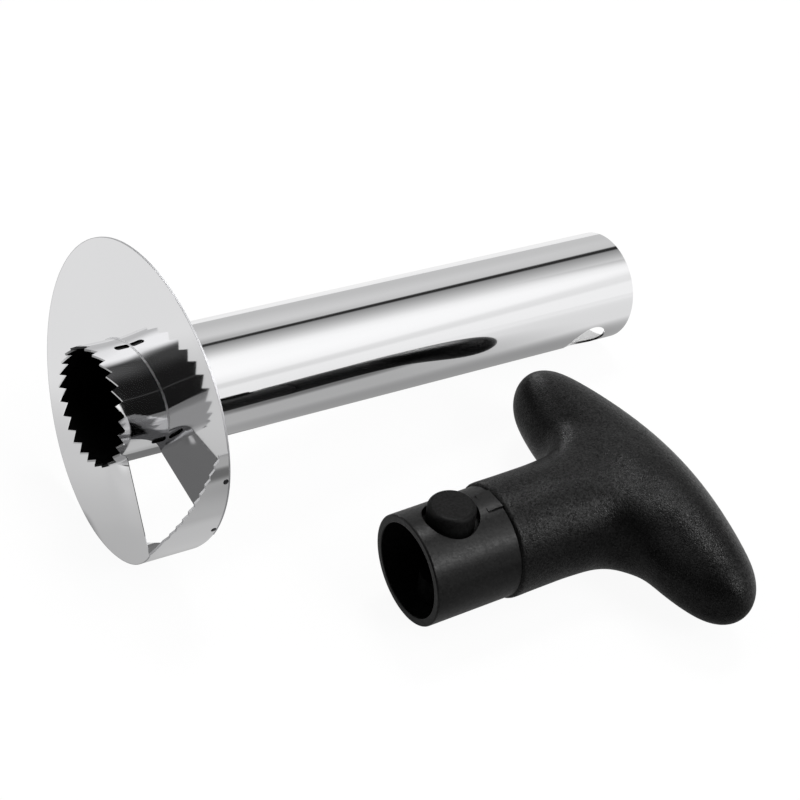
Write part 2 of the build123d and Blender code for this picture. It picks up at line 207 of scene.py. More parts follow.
# The blade's toothed edge, ground after forming: pale and matt beside the mirror. The scratches of the
# grit are drawn 0.67 mm apart, coarser than they are, so that they show.
ground_edge = metal("ground_steel_edge", "D2D2D4", 0.667, (0.45, 0.65))[0]

# Spot welds, burnt dark and rippled every two thirds of a millimetre.
weld_metal, tree, shader, _, ripples = metal("weld_metal", "3C3C3E", 0.667, (0.25, 0.5))
bead = add_node(tree, "ShaderNodeBump", values={"Strength": 0.5, "Distance": 0.2 * MM},
                links={"Height": ripples.outputs["Fac"]})
tree.links.new(bead.outputs["Normal"], shader.inputs["Normal"])

# The long bead between disc and tube, buffed after welding: a pale matt line, its ripples 0.83 mm apart.
bead_metal = metal("buffed_weld_bead", "D8D8DA", 0.833, (0.3, 0.5))[0]

# Spring wire, bright drawn: a clean soft gloss. Die lines are drawn 0.4 mm apart, as fine as can be seen.
spring_wire = metal("spring_wire", "A8A8AA", 0.4, (0.2, 0.4))[0]


def black_abs(name, sheen, speckle, grain_size, grain_depth, rough, bore_shade_r=0.0):
    """Black ABS with a moulded skin: its sheen, how much that varies from grain to grain, the grain's size
    and depth in millimetres, its roughness, and the radius of the bore, inside which the sheen is taken away
    as painted shade."""
    material, tree, shader = new_material(name)
    shader.inputs["IOR"].default_value = 1.5
    place = add_node(tree, "ShaderNodeTexCoord")
    grain = add_node(tree, "ShaderNodeTexVoronoi", values={"Scale": 1 / (grain_size * MM)},
                     links={"Vector": place.outputs["Object"]})
    own = add_node(tree, "ShaderNodeSeparateColor", links={"Color": grain.outputs["Color"]})
    level = add_node(tree, "ShaderNodeMapRange",
                     values={"To Min": sheen * (1 - speckle), "To Max": sheen * (1 + speckle)},
                     links={"Value": own.outputs["Red"]}).outputs["Result"]
    gloss = add_node(tree, "ShaderNodeMapRange", values={"To Min": rough[0], "To Max": rough[1]},
                     links={"Value": own.outputs["Green"]})
    tree.links.new(gloss.outputs["Result"], shader.inputs["Roughness"])
    tint = add_node(tree, "ShaderNodeMapRange",
                    values={"To Min": colour(DEEP_BLACK)[0], "To Max": colour(PALE_BLACK)[0]},
                    links={"Value": own.outputs["Blue"]})
    tree.links.new(tint.outputs["Result"], shader.inputs["Base Color"])
    skin = add_node(tree, "ShaderNodeBump", {"invert": True},
                    values={"Strength": 1.0, "Distance": grain_depth * MM},
                    links={"Height": grain.outputs["Distance"]})
    tree.links.new(skin.outputs["Normal"], shader.inputs["Normal"])
    # Inside the bore the sheen is taken away: painted shade, so that the bore looks black.
    if bore_shade_r:
        arm = add_node(tree, "ShaderNodeVectorMath", {"operation": "SUBTRACT"},
                       values={1: handle_origin}, links={0: place.outputs["Object"]})
        across = add_node(tree, "ShaderNodeVectorMath", {"operation": "CROSS_PRODUCT"},
                          values={1: handle_along}, links={0: arm.outputs["Vector"]})
        off_axis = add_node(tree, "ShaderNodeVectorMath", {"operation": "LENGTH"},
                            links={0: across.outputs["Vector"]})
        outside = add_node(tree, "ShaderNodeMath", {"operation": "GREATER_THAN"},
                           values={1: (bore_shade_r + 0.1) * MM}, links={0: off_axis.outputs["Value"]})
        level = add_node(tree, "ShaderNodeMath", {"operation": "MULTIPLY"},
                         links={0: outside.outputs[0], 1: level}).outputs[0]
    tree.links.new(level, shader.inputs["Specular IOR Level"])
    return material


# Plug: satin, from a fine-blasted tool, with a soft sheen on its side; its bore has its sheen taken away,
# painted shade that makes it look black. The blasting's pits are drawn 0.56 mm apart, coarser than they are,
# so that they show.
satin_abs = black_abs("satin_black_abs", sheen=0.18, speckle=0.15, grain_size=0.5556, grain_depth=0.006,
                      rough=(0.3, 0.42), bore_shade_r=PLUG_BORE_R)

# Button: the same plastic with the same pits, more matt, so that its thumbed face stays dark.
button_abs = black_abs("button_black_abs", sheen=0.09, speckle=0.2, grain_size=0.5, grain_depth=0.008,
                       rough=(0.4, 0.55))

# Grip: a sand-grained skin that sparkles in the light, its grains 0.37 mm apart.
grained_abs = black_abs("grained_black_abs", sheen=0.14, speckle=0.65, grain_size=0.3704, grain_depth=0.06,
                        rough=(0.27, 0.44))


def same_shape(name, node, body, material):
    """A piece with the node's own mesh and normals."""
    piece = bpy.data.objects.new(name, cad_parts[node].data.copy())
    bpy.context.scene.collection.objects.link(piece)
    piece.data.materials.clear()
    piece.data.materials.append(material)
    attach(piece, body)
    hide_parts(node)
    return piece


def finished(name, bm, body, materials, stands_for):
    """Makes the mesh a piece: its object, its materials, its body and the nodes it stands for."""
    mesh = bpy.data.meshes.new(name)
    bm.to_mesh(mesh)
    bm.free()
    piece = bpy.data.objects.new(name, mesh)
    bpy.context.scene.collection.objects.link(piece)
    for material in materials:
        mesh.materials.append(material)
    for polygon in mesh.polygons:
        polygon.use_smooth = True
    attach(piece, body)
    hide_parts(*stands_for)
    return piece


def across_axis(point, origin, along):
    """The part of the way from the axis to the point that is square to the axis."""
    arm = point - origin
    return arm - along * arm.dot(along)


def round_normals(piece, origin, along, keep=0.93):
    """Gives faces that lie on a round wall the true radial normals, so that reflections run smoothly."""
    mesh = piece.data
    normals = []
    for polygon in mesh.polygons:
        for corner in polygon.vertices:
            radial = across_axis(mesh.vertices[corner].co, origin, along).normalized()
            facing = polygon.normal.dot(radial)
            if abs(facing) > keep:
                normals.append(radial if facing > 0 else -radial)
            else:
                normals.append(polygon.normal.copy())
    mesh.normals_split_custom_set(normals)


def second_side(bm):
    """The vertices of the sheet's second side, extruded from its first."""
    grown = bmesh.ops.extrude_face_region(bm, geom=bm.faces[:], use_keep_orig=True)["geom"]
    return [g for g in grown if isinstance(g, bmesh.types.BMVert)]


def evaluated_mesh(piece):
    """The piece's mesh with its modifiers applied."""
    bpy.context.view_layer.update()
    return bpy.data.meshes.new_from_object(piece.evaluated_get(bpy.context.evaluated_depsgraph_get()))


def shaped_by(piece, name, kind, **settings):
    """Applies one modifier to the piece's mesh."""
    modifier = piece.modifiers.new(name, kind)
    for key, value in settings.items():
        setattr(modifier, key, value)
    shaped = evaluated_mesh(piece)
    piece.modifiers.remove(modifier)
    piece.data = shaped


def cut_away(piece, cutter_bm):
    """Cuts the cutter's shape out of the piece."""
    mesh = bpy.data.meshes.new("cutter")
    cutter_bm.to_mesh(mesh)
    cutter_bm.free()
    cutter = bpy.data.objects.new("cutter", mesh)
    bpy.context.scene.collection.objects.link(cutter)
    shaped_by(piece, "cut", "BOOLEAN", operation="DIFFERENCE", solver="EXACT", object=cutter)
    bpy.data.objects.remove(cutter)


def round_the_tube(angle_deg, radius, height):
    """A point in the slicer's own frame, in metres."""
    angle = radians(angle_deg)
    return Vector((radius * cos(angle), radius * sin(angle), height)) * MM


def through_the_stations(angle_deg, column):
    """Smooth curve through one column of the disc's stations."""
    keys = [(station[1] if column == 3 else station[0], station[column]) for station in DISC_STATIONS]
    last = len(keys) - 1
    k = 0
    while k < last - 1 and angle_deg > keys[k + 1][0]:
        k += 1
    slopes = []
    for i in (k, k + 1):
        before, after = keys[max(i - 1, 0)], keys[min(i + 1, last)]
        slopes.append((after[1] - before[1]) / (after[0] - before[0]))
    span = keys[k + 1][0] - keys[k][0]
    t = (angle_deg - keys[k][0]) / span
    return (
        (2 * t ** 3 - 3 * t ** 2 + 1) * keys[k][1]
        + (t ** 3 - 2 * t ** 2 + t) * span * slopes[0]
        + (3 * t ** 2 - 2 * t ** 3) * keys[k + 1][1]
        + (t ** 3 - t ** 2) * span * slopes[1]
    )


def rim_height(angle_deg):
    """Height of the disc's front face at the rim."""
    return DISC_LOW + DISC_RISE * through_the_stations(angle_deg, 3)


def foot_height(angle_deg):
    """Height of the disc's front face at the tube."""
    return DISC_LOW + DISC_RISE * through_the_stations(angle_deg, 2)


# Coring tube: a round wall whose far edge is moved into saw teeth.
bm = bmesh.new()
steps = CROWN_TEETH * TOOTH_STEPS
bmesh.ops.create_circle(bm, segments=steps, radius=TUBE_R * MM)
bmesh.ops.rotate(bm, verts=bm.verts, matrix=Matrix.Rotation(radians(TOOTH_START), 3, "Z"))
wall_heights = [4, 10, 20, 40, 60, 80, 100, 120, 140, 155, 165, 172]
wall_heights += [TUBE_LENGTH - TOOTH_DEPTH - 1, TUBE_LENGTH]
edges, low = bm.edges[:], 0
for height in wall_heights:
    grown = bmesh.ops.extrude_edge_only(bm, edges=edges)["geom"]
    edges = [g for g in grown if isinstance(g, bmesh.types.BMEdge)]
    ring = [g for g in grown if isinstance(g, bmesh.types.BMVert)]
    bmesh.ops.translate(bm, verts=ring, vec=(0, 0, (height - low) * MM))
    low = height
for v in ring:
    step = round((atan2(v.co.y, v.co.x) - radians(TOOTH_START)) / (2 * pi / steps)) % TOOTH_STEPS
    v.co.z -= TOOTH_DEPTH * MM * (TOOTH_STEPS - step) / (TOOTH_STEPS - 1) if step else 0
bmesh.ops.recalc_face_normals(bm, faces=bm.faces)
if bm.faces[0].normal.dot(Vector((bm.faces[0].calc_center_median().xy[:] + (0,)))) < 0:
    bmesh.ops.reverse_faces(bm, faces=bm.faces)
for v in second_side(bm):
    v.co.xy *= (TUBE_R - TUBE_WALL) / TUBE_R
bmesh.ops.recalc_face_normals(bm, faces=bm.faces)
coring_tube = finished("coring_tube", bm, "slicer", (polished_steel, drawn_steel_shaded),
                       ("core_tube",))

# The catch hole goes through the wall. The slots are sunk most of the way, and their floors take the bore's
# dark painted shade, standing for the shade seen through a slot.
cutters = bmesh.new()
bmesh.ops.create_cone(
    cutters, cap_ends=True, segments=72, radius1=CATCH_R * MM, radius2=CATCH_R * MM, depth=TUBE_R * MM,
    matrix=Matrix.Translation(round_the_tube(CATCH_DEG, TUBE_R, CATCH_AT))
    @ Matrix.Rotation(radians(CATCH_DEG), 4, "Z") @ Matrix.Rotation(radians(90), 4, "Y"),
)
for slot_deg, station in SLOTS:
    foot = DISC_LOW + DISC_RISE * DISC_STATIONS[station][2] + BEAD_LEG
    slot = bmesh.ops.create_cone(cutters, cap_ends=True, segments=24, radius1=SLOT_WIDTH / 2 * MM,
                                 radius2=SLOT_WIDTH / 2 * MM, depth=2 * TUBE_WALL * MM)["verts"]
    for v in slot:
        v.co.x += (SLOT_LENGTH - SLOT_WIDTH) / 2 * MM * (1 if v.co.x > 0 else -1)
    lie = Matrix.Rotation(radians(slot_deg), 4, "Z") @ Matrix.Rotation(radians(90), 4, "Y")
    at = Matrix.Translation(round_the_tube(slot_deg, TUBE_R + SLOT_PROUD, foot + SLOT_LENGTH / 2))
    bmesh.ops.transform(cutters, verts=slot, matrix=at @ lie)
cut_away(coring_tube, cutters)
coring_tube.data.transform(slicer_frame)
# Inner faces and slot floors take the bore's material, with its painted shade.
for polygon in coring_tube.data.polygons:
    radial = across_axis(polygon.center, tube_origin, tube_along)
    inner_face = polygon.normal.dot(radial.normalized()) < -0.5
    up_the_tube = (polygon.center - tube_origin).dot(tube_along) / MM
    slot_floor_shade = radial.length < (TUBE_R - 0.1) * MM and SLOTS_LIE[0] < up_the_tube < SLOTS_LIE[1]
    polygon.material_index = 1 if inner_face or slot_floor_shade else 0
round_normals(coring_tube, tube_origin, tube_along)

# Slicing disc: a flat grid wound once round the tube, lifted to its heights, then given its thickness.
bm = bmesh.new()
bmesh.ops.create_grid(bm, x_segments=DISC_STEPS_ROUND, y_segments=DISC_STEPS_OUT, size=0.5)
first, last = DISC_STATIONS[0], DISC_STATIONS[-1]
burr_from = 1 - RIM_BURR / (DISC_R - TUBE_R)
for v in bm.verts:
    out_share = (v.co.y + 0.5) * DISC_STEPS_OUT / (DISC_STEPS_OUT - 1) * burr_from
    if v.co.y > 0.49:
        out_share = 1.0
    angle_in = first[0] + (v.co.x + 0.5) * (last[0] - first[0])
    slant = max(0.0, 1 - (angle_in - first[0]) / TRAILING_SLANT_DEG)
    angle_out = angle_in + slant * (first[1] - first[0])
    near = round_the_tube(angle_in, TUBE_R, foot_height(angle_in))
    far = round_the_tube(angle_out, DISC_R, rim_height(angle_out))
    point = near.lerp(far, out_share)
    radius = (TUBE_R + out_share * (DISC_R - TUBE_R)) * MM
    point.xy *= radius / point.xy.length
    v.co = point
bmesh.ops.recalc_face_normals(bm, faces=bm.faces)
edge_ray = round_the_tube(last[0], 1, 0).normalized()
for v in second_side(bm):
    behind = edge_ray.cross(Vector((v.co.x, v.co.y, 0))).z / MM
    ground = v.co.z / MM > DISC_LOW + GROUND_FROM * DISC_RISE and -EDGE_BEVEL < behind
    thick = EDGE_T + (DISC_T - EDGE_T) * min(1.0, -behind / EDGE_BEVEL) if ground else DISC_T
    v.co.z -= thick * MM
bmesh.ops.recalc_face_normals(bm, faces=bm.faces)
bmesh.ops.transform(bm, matrix=slicer_frame, verts=bm.verts)
spiral_disc = finished("spiral_disc", bm, "slicer", (polished_steel, sheared_edge),
                       ("slicing_disc",))
spiral_disc.data.set_sharp_from_angle(angle=radians(35))
for polygon in spiral_disc.data.polygons:
    if across_axis(polygon.center, tube_origin, tube_along).length > (DISC_R - RIM_BURR) * MM:
        polygon.material_index = 1


# Side blade: a grid bent to the rim, between its rear and its toothed front edge.
def blade_rear(angle_deg):
    """Height of the side blade's rear edge: a slanted tail, a free foot, then the turn behind."""
    foot = DISC_LOW - DISC_T / 2
    if angle_deg < BAND_FOOT:
        start = rim_height(BAND_TAIL) - DISC_T - BAND_TAIL_DROP
        return start + (angle_deg - BAND_TAIL) / (BAND_FOOT - BAND_TAIL) * (foot - start)
    if angle_deg < BAND_JOINS:
        return foot
    return rim_height(angle_deg - 360) - DISC_T / 2


def blade_front(angle_deg):
    """Height of the side blade's front edge, with its teeth."""
    edge_deg, edge_height = DISC_STATIONS[-1][1], DISC_LOW + DISC_RISE
    if angle_deg <= edge_deg:
        return rim_height(angle_deg) - DISC_T / 2
    teeth_height = DISC_LOW + BAND_TEETH_HIGH * DISC_RISE
    if angle_deg <= BAND_TEETH_FROM:
        down_share = (angle_deg - edge_deg) / (BAND_TEETH_FROM - edge_deg)
        return edge_height + down_share * (teeth_height - edge_height)
    share = (angle_deg - BAND_TEETH_FROM) / (BAND_TIP - BAND_TEETH_FROM)
    line = teeth_height + share * (DISC_LOW + BAND_TEETH_LOW * DISC_RISE - teeth_height)
    into = share * BAND_TEETH % 1.0
    if share > 0.9999 or into > 0.9999:
        return line
    to_root = into / BAND_TOOTH_LEAN if into < BAND_TOOTH_LEAN else (1 - into) / (1 - BAND_TOOTH_LEAN)
    return line - BAND_TOOTH_DEPTH * to_root


before, after = BAND_CORNER
blade_steps = [BAND_TAIL + (before - BAND_TAIL) * i / TAIL_STEPS for i in range(TAIL_STEPS + 1)]
blade_steps += [after + (BAND_TEETH_FROM - after) * i / TOP_STEPS for i in range(TOP_STEPS + 1)]
pitch = (BAND_TIP - BAND_TEETH_FROM) / BAND_TEETH
down, up = BAND_TOOTH_LEAN / 2, (BAND_TOOTH_LEAN + 1) / 2
for tooth in range(BAND_TEETH):
    blade_steps += [BAND_TEETH_FROM + (tooth + share) * pitch for share in (down, BAND_TOOTH_LEAN, up, 1.0)]
bm = bmesh.new()
bmesh.ops.create_grid(bm, x_segments=len(blade_steps) - 1, y_segments=6, size=0.5)
for v in bm.verts:
    angle_deg = blade_steps[round((v.co.x + 0.5) * (len(blade_steps) - 1))]
    rear, front = blade_rear(angle_deg), blade_front(angle_deg)
    v.co = round_the_tube(angle_deg, DISC_R - BAND_SET_IN, rear + (v.co.y + 0.5) * (front - rear))
for v in second_side(bm):
    v.co.xy *= (DISC_R - BAND_T) / DISC_R
bmesh.ops.recalc_face_normals(bm, faces=bm.faces)
bmesh.ops.transform(bm, matrix=slicer_frame, verts=bm.verts)
side_blade = finished("side_blade", bm, "slicer", (polished_steel, ground_edge),
                      ("rim_band",))
for polygon in side_blade.data.polygons:
    if polygon.normal.dot(tube_along) > 0.3:
        polygon.material_index = 1
round_normals(side_blade, tube_origin, tube_along)

# Weld bead in the corner of disc and tube: a narrow grid, hollow like a fillet and a little uneven.
bm = bmesh.new()
bmesh.ops.create_grid(bm, x_segments=420, y_segments=4, size=0.5)
for v in bm.verts:
    angle_deg = BEAD_FROM + (v.co.x + 0.5) * BEAD_TURN
    across = (v.co.y + 0.5) * pi / 2
    leg = BEAD_LEG * (1 + sum(share * sin(radians(angle_deg * waves)) for waves, share in BEAD_WAVES))
    height = foot_height(angle_deg) + leg * (1 - cos(across))
    v.co = round_the_tube(angle_deg, TUBE_R + leg * (1 - sin(across)), height)
for v in second_side(bm):
    v.co.xy *= 1 - BEAD_SKIN * MM / v.co.xy.length
    v.co.z -= BEAD_SKIN * MM
bmesh.ops.recalc_face_normals(bm, faces=bm.faces)
bmesh.ops.transform(bm, matrix=slicer_frame, verts=bm.verts)
finished("weld_bead", bm, "slicer", (bead_metal,), ("seam_weld",))

# Spot welds: shallow pressed domes.
bm = bmesh.new()
for spot_deg in SPOT_DEGS:
    dome = bmesh.ops.create_uvsphere(bm, u_segments=32, v_segments=16, radius=SPOT_R * MM)["verts"]
    lie = Matrix.Translation(round_the_tube(spot_deg, DISC_R, rim_height(spot_deg) + SPOT_R))
    turn = Matrix.Rotation(radians(spot_deg), 4, "Z") @ Matrix.Scale(SPOT_FLATNESS, 4, (1, 0, 0))
    bmesh.ops.transform(bm, matrix=slicer_frame @ lie @ turn, verts=dome)
finished("spot_domes", bm, "slicer", (weld_metal,), ("spot_welds",))

# Button and seat are small plastic pieces, right as they are.
for node, material in (("release_button", button_abs), ("spring_seat", satin_abs)):
    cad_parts[node].data.materials.clear()
    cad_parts[node].data.materials.append(material)

# The spring is squeezed between its seat and the button.
coil = same_shape("spring_coil", "button_spring", "handle", spring_wire)
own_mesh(coil)

# The plug's rib is shaded as part of the round wall it swells from.
core = same_shape("plug_core", "handle_core", "handle", satin_abs)
normals = [corner.vector.copy() for corner in core.data.corner_normals]
for polygon in core.data.polygons:
    at = (to_handle @ polygon.center) / MM
    swells = at.xy.length > PLUG_R + 0.02 and PLUG_LENGTH - RIB_LENGTH < at.z < PLUG_LENGTH - 0.05
    outward = across_axis(polygon.center, handle_origin, handle_along).normalized()
    if swells and polygon.normal.dot(outward) > 0.9:
        for corner, vertex in zip(polygon.loop_indices, polygon.vertices):
            radial = across_axis(core.data.vertices[vertex].co, handle_origin, handle_along)
            normals[corner] = radial.normalized()
core.data.normals_split_custom_set(normals)


def step_between(value, low, high):
    """0 below low, 1 above high, smooth between."""
    t = min(1.0, max(0.0, (value - low) / (high - low)))
    return t * t * (3 - 2 * t)


# Grip: the moulded T, closed into one even skin, drawn in a little at the two inner corners and smoothed
# there, so that stem and arms flow together.
bm = bmesh.new()
bm.from_mesh(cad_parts["grip"].data)
bmesh.ops.remove_doubles(bm, verts=bm.verts, dist=0.002 * MM)
grip = finished("grip_skin", bm, "handle", (grained_abs,), ("grip",))
shaped_by(grip, "skin", "REMESH", mode="VOXEL", voxel_size=GRIP_SKIN * MM)
soft = grip.vertex_groups.new(name="soft")
for v in grip.data.vertices:
    at = (to_handle @ v.co) / MM
    corner = max(0.0, 1 - ((at.z - INNER_CORNER[0]) / CORNER_REACH) ** 2)
    corner *= max(0.0, 1 - ((abs(at.y) - INNER_CORNER[1]) / CORNER_REACH) ** 2)
    at.y -= CORNER_IN * corner * (1 if at.y > 0 else -1)
    weight = step_between(at.z, *SOFT_FROM) * (1 - step_between(abs(at.y), *SOFT_UNTIL))
    soft.add([v.index], weight, "REPLACE")
    v.co = handle_frame @ (at * MM)
shaped_by(grip, "soften", "SMOOTH", factor=0.5, iterations=90, vertex_group="soft")
shaped_by(grip, "even", "SMOOTH", factor=0.5, iterations=4)
for polygon in grip.data.polygons:
    polygon.use_smooth = True

# What mirrors see of the floor is painted as a glow: its tone far away, and soft rounded patches of painted
# shade and painted light where the light on the paper would
# differ: x, y and half-widths in metres, the tone in the middle, and where the patch's edge begins and ends.
FAR_TONE = 1.02
MIRROR_FLOOR_PAINTED_SHADE = (
    (0.000, 0.000, 0.220, 0.160, 0.88, 0.00, 1.20),     # the whole neighbourhood
    (0.150, -0.220, 0.200, 0.140, 0.90, 0.30, 1.40),
    (0.120, -0.060, 0.090, 0.050, 0.69, 0.10, 1.50),    # behind the crown
    (0.092, -0.030, 0.020, 0.016, 0.62, 0.20, 1.30),
    (0.030, 0.000, 0.110, 0.070, 0.50, 0.10, 1.30),     # round the tube
    (0.071, -0.004, 0.014, 0.014, 0.60, 0.30, 1.40),
    (-0.030, -0.035, 0.080, 0.016, 0.36, 0.20, 2.00),   # shadow under the tube
    (0.000, 0.028, 0.040, 0.016, 0.20, 0.10, 1.60),     # shadow beside the plug
    (0.000, 0.120, 0.080, 0.100, 0.20, 0.10, 1.30),     # round the handle
    (0.035, 0.105, 0.050, 0.065, 0.45, 0.30, 1.40),     # in front of the side blade
    (0.038, 0.074, 0.018, 0.018, 0.17, 0.10, 1.40),
    (0.700, 0.800, 0.610, 0.850, 0.24, 0.95, 1.12),     # in front of the crown, far out to the dark room
    (0.220, 0.120, 0.130, 0.170, 0.40, 0.95, 1.12),
    (0.260, 0.220, 0.100, 0.120, 0.26, 0.00, 1.50),
    (0.106, -0.008, 0.006, 0.012, 0.27, 0.30, 1.30),
    (0.094, 0.030, 0.0165, 0.024, 0.02, 0.85, 1.15),
    (0.052, -0.072, 0.030, 0.027, 0.17, 0.70, 1.20),    # under the disc
    (0.072, -0.040, 0.017, 0.016, 0.20, 0.85, 1.20),
    (0.032, -0.082, 0.014, 0.020, 0.055, 0.30, 1.30),
)
CAMERA_LIFT = 0.94    # how much of the paper's white stays in its shadows
SMOOTH = {"interpolation_type": "SMOOTHSTEP"}

# Studio floor, large and pale, with the object standing on it
bm = bmesh.new()
bmesh.ops.create_circle(bm, cap_ends=True, segments=96, radius=1.6)
mesh = bpy.data.meshes.new("studio_floor")
bm.to_mesh(mesh)
bm.free()
floor = bpy.data.objects.new("studio_floor", mesh)
bpy.context.scene.collection.objects.link(floor)

# Matt paper. The camera and the lamp's light find it white, and mirrors find a glow painted with its tones of
# shade and light.
paper, tree, shader = new_material("studio_paper")
shader.inputs["Base Color"].default_value = colour("F8F8F8")
shader.inputs["Roughness"].default_value = 1.0
shader.inputs["Specular IOR Level"].default_value = 0.0
place = add_node(tree, "ShaderNodeTexCoord")
tone = add_node(tree, "ShaderNodeValue").outputs[0]
tone.default_value = FAR_TONE
for x, y, half_x, half_y, grey, inner, outer in MIRROR_FLOOR_PAINTED_SHADE:
    away = add_node(tree, "ShaderNodeVectorMath", {"operation": "SUBTRACT"}, values={1: (x, y, 0)},
                    links={0: place.outputs["Object"]})
    away = add_node(tree, "ShaderNodeVectorMath", {"operation": "DIVIDE"}, values={1: (half_x, half_y, 1)},
                    links={0: away.outputs["Vector"]})
    away = add_node(tree, "ShaderNodeVectorMath", {"operation": "MULTIPLY"},
                    links={0: away.outputs["Vector"], 1: away.outputs["Vector"]})
    away = add_node(tree, "ShaderNodeVectorMath", {"operation": "LENGTH"}, links={0: away.outputs["Vector"]})
    inside = add_node(tree, "ShaderNodeMapRange", SMOOTH,
                      values={"From Min": inner, "From Max": outer, "To Min": 1.0, "To Max": 0.0},
                      links={"Value": away.outputs["Value"]})
    blend = add_node(tree, "ShaderNodeMix", {"data_type": "FLOAT"}, values={3: grey},
                     links={0: inside.outputs["Result"], 2: tone})
    tone = blend.outputs[0]
path = add_node(tree, "ShaderNodeLightPath")
white = add_node(tree, "ShaderNodeEmission", values={"Color": (1, 1, 1, 1), "Strength": 1.0})
for_camera = add_node(tree, "ShaderNodeMath", {"operation": "MULTIPLY"}, values={1: CAMERA_LIFT},
                      links={0: path.outputs["Is Camera Ray"]})
lit = add_node(tree, "ShaderNodeMixShader",
               links={0: for_camera.outputs[0], 1: shader.outputs["BSDF"], 2: white.outputs["Emission"]})
# Glossy rays see this painted glow of shade and light instead of the lit paper.
painted_floor_glow = add_node(tree, "ShaderNodeEmission", links={"Strength": tone})
mixed = add_node(tree, "ShaderNodeMixShader",
                 links={0: path.outputs["Is Glossy Ray"], 1: lit.outputs["Shader"],
                        2: painted_floor_glow.outputs["Emission"]})
out = [n for n in tree.nodes if n.type == "OUTPUT_MATERIAL"][0]
tree.links.new(mixed.outputs["Shader"], out.inputs["Surface"])
mesh.materials.append(paper)

# Studio round the object, by direction: white screens, grey walls, the dark side of the room where the camera
# stands, and a narrow dark gap between two screens. Brightness by azimuth in degrees, low down and higher up:
LOW_ROOM = (
    (-180, 0.70), (-168, 0.45), (-161.5, 0.36), (-160, 0.036), (-155.5, 0.036), (-154, 0.64), (-140, 0.69),
    (-130, 0.66), (-120, 0.61), (-100, 0.55), (-75, 0.75), (-45, 0.75), (-30, 0.50), (-10, 0.10), (0, 0.05),
    (25, 0.010), (50, 0.016), (80, 0.009), (104, 0.009), (112, 0.85), (120, 1.02), (130, 1.10), (140, 1.10),
    (150, 1.06), (165, 1.00), (180, 0.70),
)
HIGH_ROOM = (
    (-180, 0.62), (-170, 0.45), (-162.5, 0.33), (-160.5, 0.03), (-155, 0.03), (-153.5, 0.68), (-140, 0.77),
    (-125, 0.72), (-110, 0.60), (-95, 0.58), (-80, 0.66), (-70, 1.14), (-60, 1.36), (-45, 1.38), (-36, 1.15),
    (-28, 0.85), (-20, 0.60), (-10, 0.25), (0, 0.08), (30, 0.03), (50, 0.016), (95, 0.012), (108, 0.60),
    (120, 1.15), (130, 1.25), (152, 1.20), (160, 1.10), (170, 0.84), (180, 0.62),
)
LOW_TO_HIGH = (12.0, 36.0)    # elevations between which the low walls turn into the high ones
# How high the screens reach before the dark ceiling: (azimuth, elevation in degrees)
SCREEN_TOPS = (
    (-180, 64), (-160, 56), (-150, 48), (-85, 46), (-70, 66), (-55, 68), (-45, 65), (-30, 58), (-10, 57),
    (20, 62), (60, 64), (80, 56), (140, 58), (160, 66), (180, 64),
)
SCREEN_EDGE = 0.12            # softness of the screens' upper edge, as a share of a right angle
BRIGHTEST = 1.4
CEILING, ZENITH, CEILING_FROM = 0.05, 0.22, 60.0    # brightness, and the elevation it grows from
# Slanting lines over screens and walls: azimuths they run between, rise by azimuth, elevation at azimuth 0,
# half-width in degrees, and what they add: a seam between two screens, and a lit edge on the dark side.
LINES = ((100, 175, 0.53, -52.0, 5.0, -0.17), (35, 85, 0.45, 2.5, 1.3, 0.05))
LINE_FADES = (10.0, 5.0)      # degrees over which a line begins, and ends
# Bright spots in the screens, which the black plastic picks up: azimuth, elevation, half-width, brightness
SPOTS = ((112, 38, 14, 12.5), (-140, 62, 11, 18.0), (-100, 68, 10, 3.0))

world = bpy.data.worlds.new("studio_room")
world.use_nodes = True
bpy.context.scene.world = world
tree = world.node_tree
tree.nodes.clear()

# Azimuth and elevation of a direction, in degrees, and as shares of a whole turn and of a right angle
place = add_node(tree, "ShaderNodeTexCoord")
parts = add_node(tree, "ShaderNodeSeparateXYZ", links={"Vector": place.outputs["Generated"]})
turned = add_node(tree, "ShaderNodeMath", {"operation": "ARCTAN2"},
                  links={0: parts.outputs["Y"], 1: parts.outputs["X"]})
turn = add_node(tree, "ShaderNodeMath", {"operation": "DIVIDE"}, values={1: pi / 180},
                links={0: turned.outputs[0]}).outputs[0]
raised = add_node(tree, "ShaderNodeMath", {"operation": "ARCSINE"}, links={0: parts.outputs["Z"]})
height = add_node(tree, "ShaderNodeMath", {"operation": "DIVIDE"}, values={1: pi / 180},
                  links={0: raised.outputs[0]}).outputs[0]
from_west = add_node(tree, "ShaderNodeMath", {"operation": "ADD"}, values={1: 180.0}, links={0: turn})
round_share = add_node(tree, "ShaderNodeMath", {"operation": "DIVIDE"}, values={1: 360.0},
                       links={0: from_west.outputs[0]}).outputs[0]
up_share = add_node(tree, "ShaderNodeMath", {"operation": "DIVIDE"}, values={1: 90.0}, links={0: height})

# One ramp of greys round the room for each table
ramps = []
for stops, whole in ((LOW_ROOM, BRIGHTEST), (HIGH_ROOM, BRIGHTEST), (SCREEN_TOPS, 90)):
    ramp = add_node(tree, "ShaderNodeValToRGB", links={"Fac": round_share})
    for azimuth, _ in stops[1:-1]:
        ramp.color_ramp.elements.new((azimuth + 180) / 360)
    for element, (_, value) in zip(ramp.color_ramp.elements, stops):
        element.color = (value / whole, value / whole, value / whole, 1)
    ramps.append(ramp.outputs["Color"])
low_walls, high_walls, tops = ramps

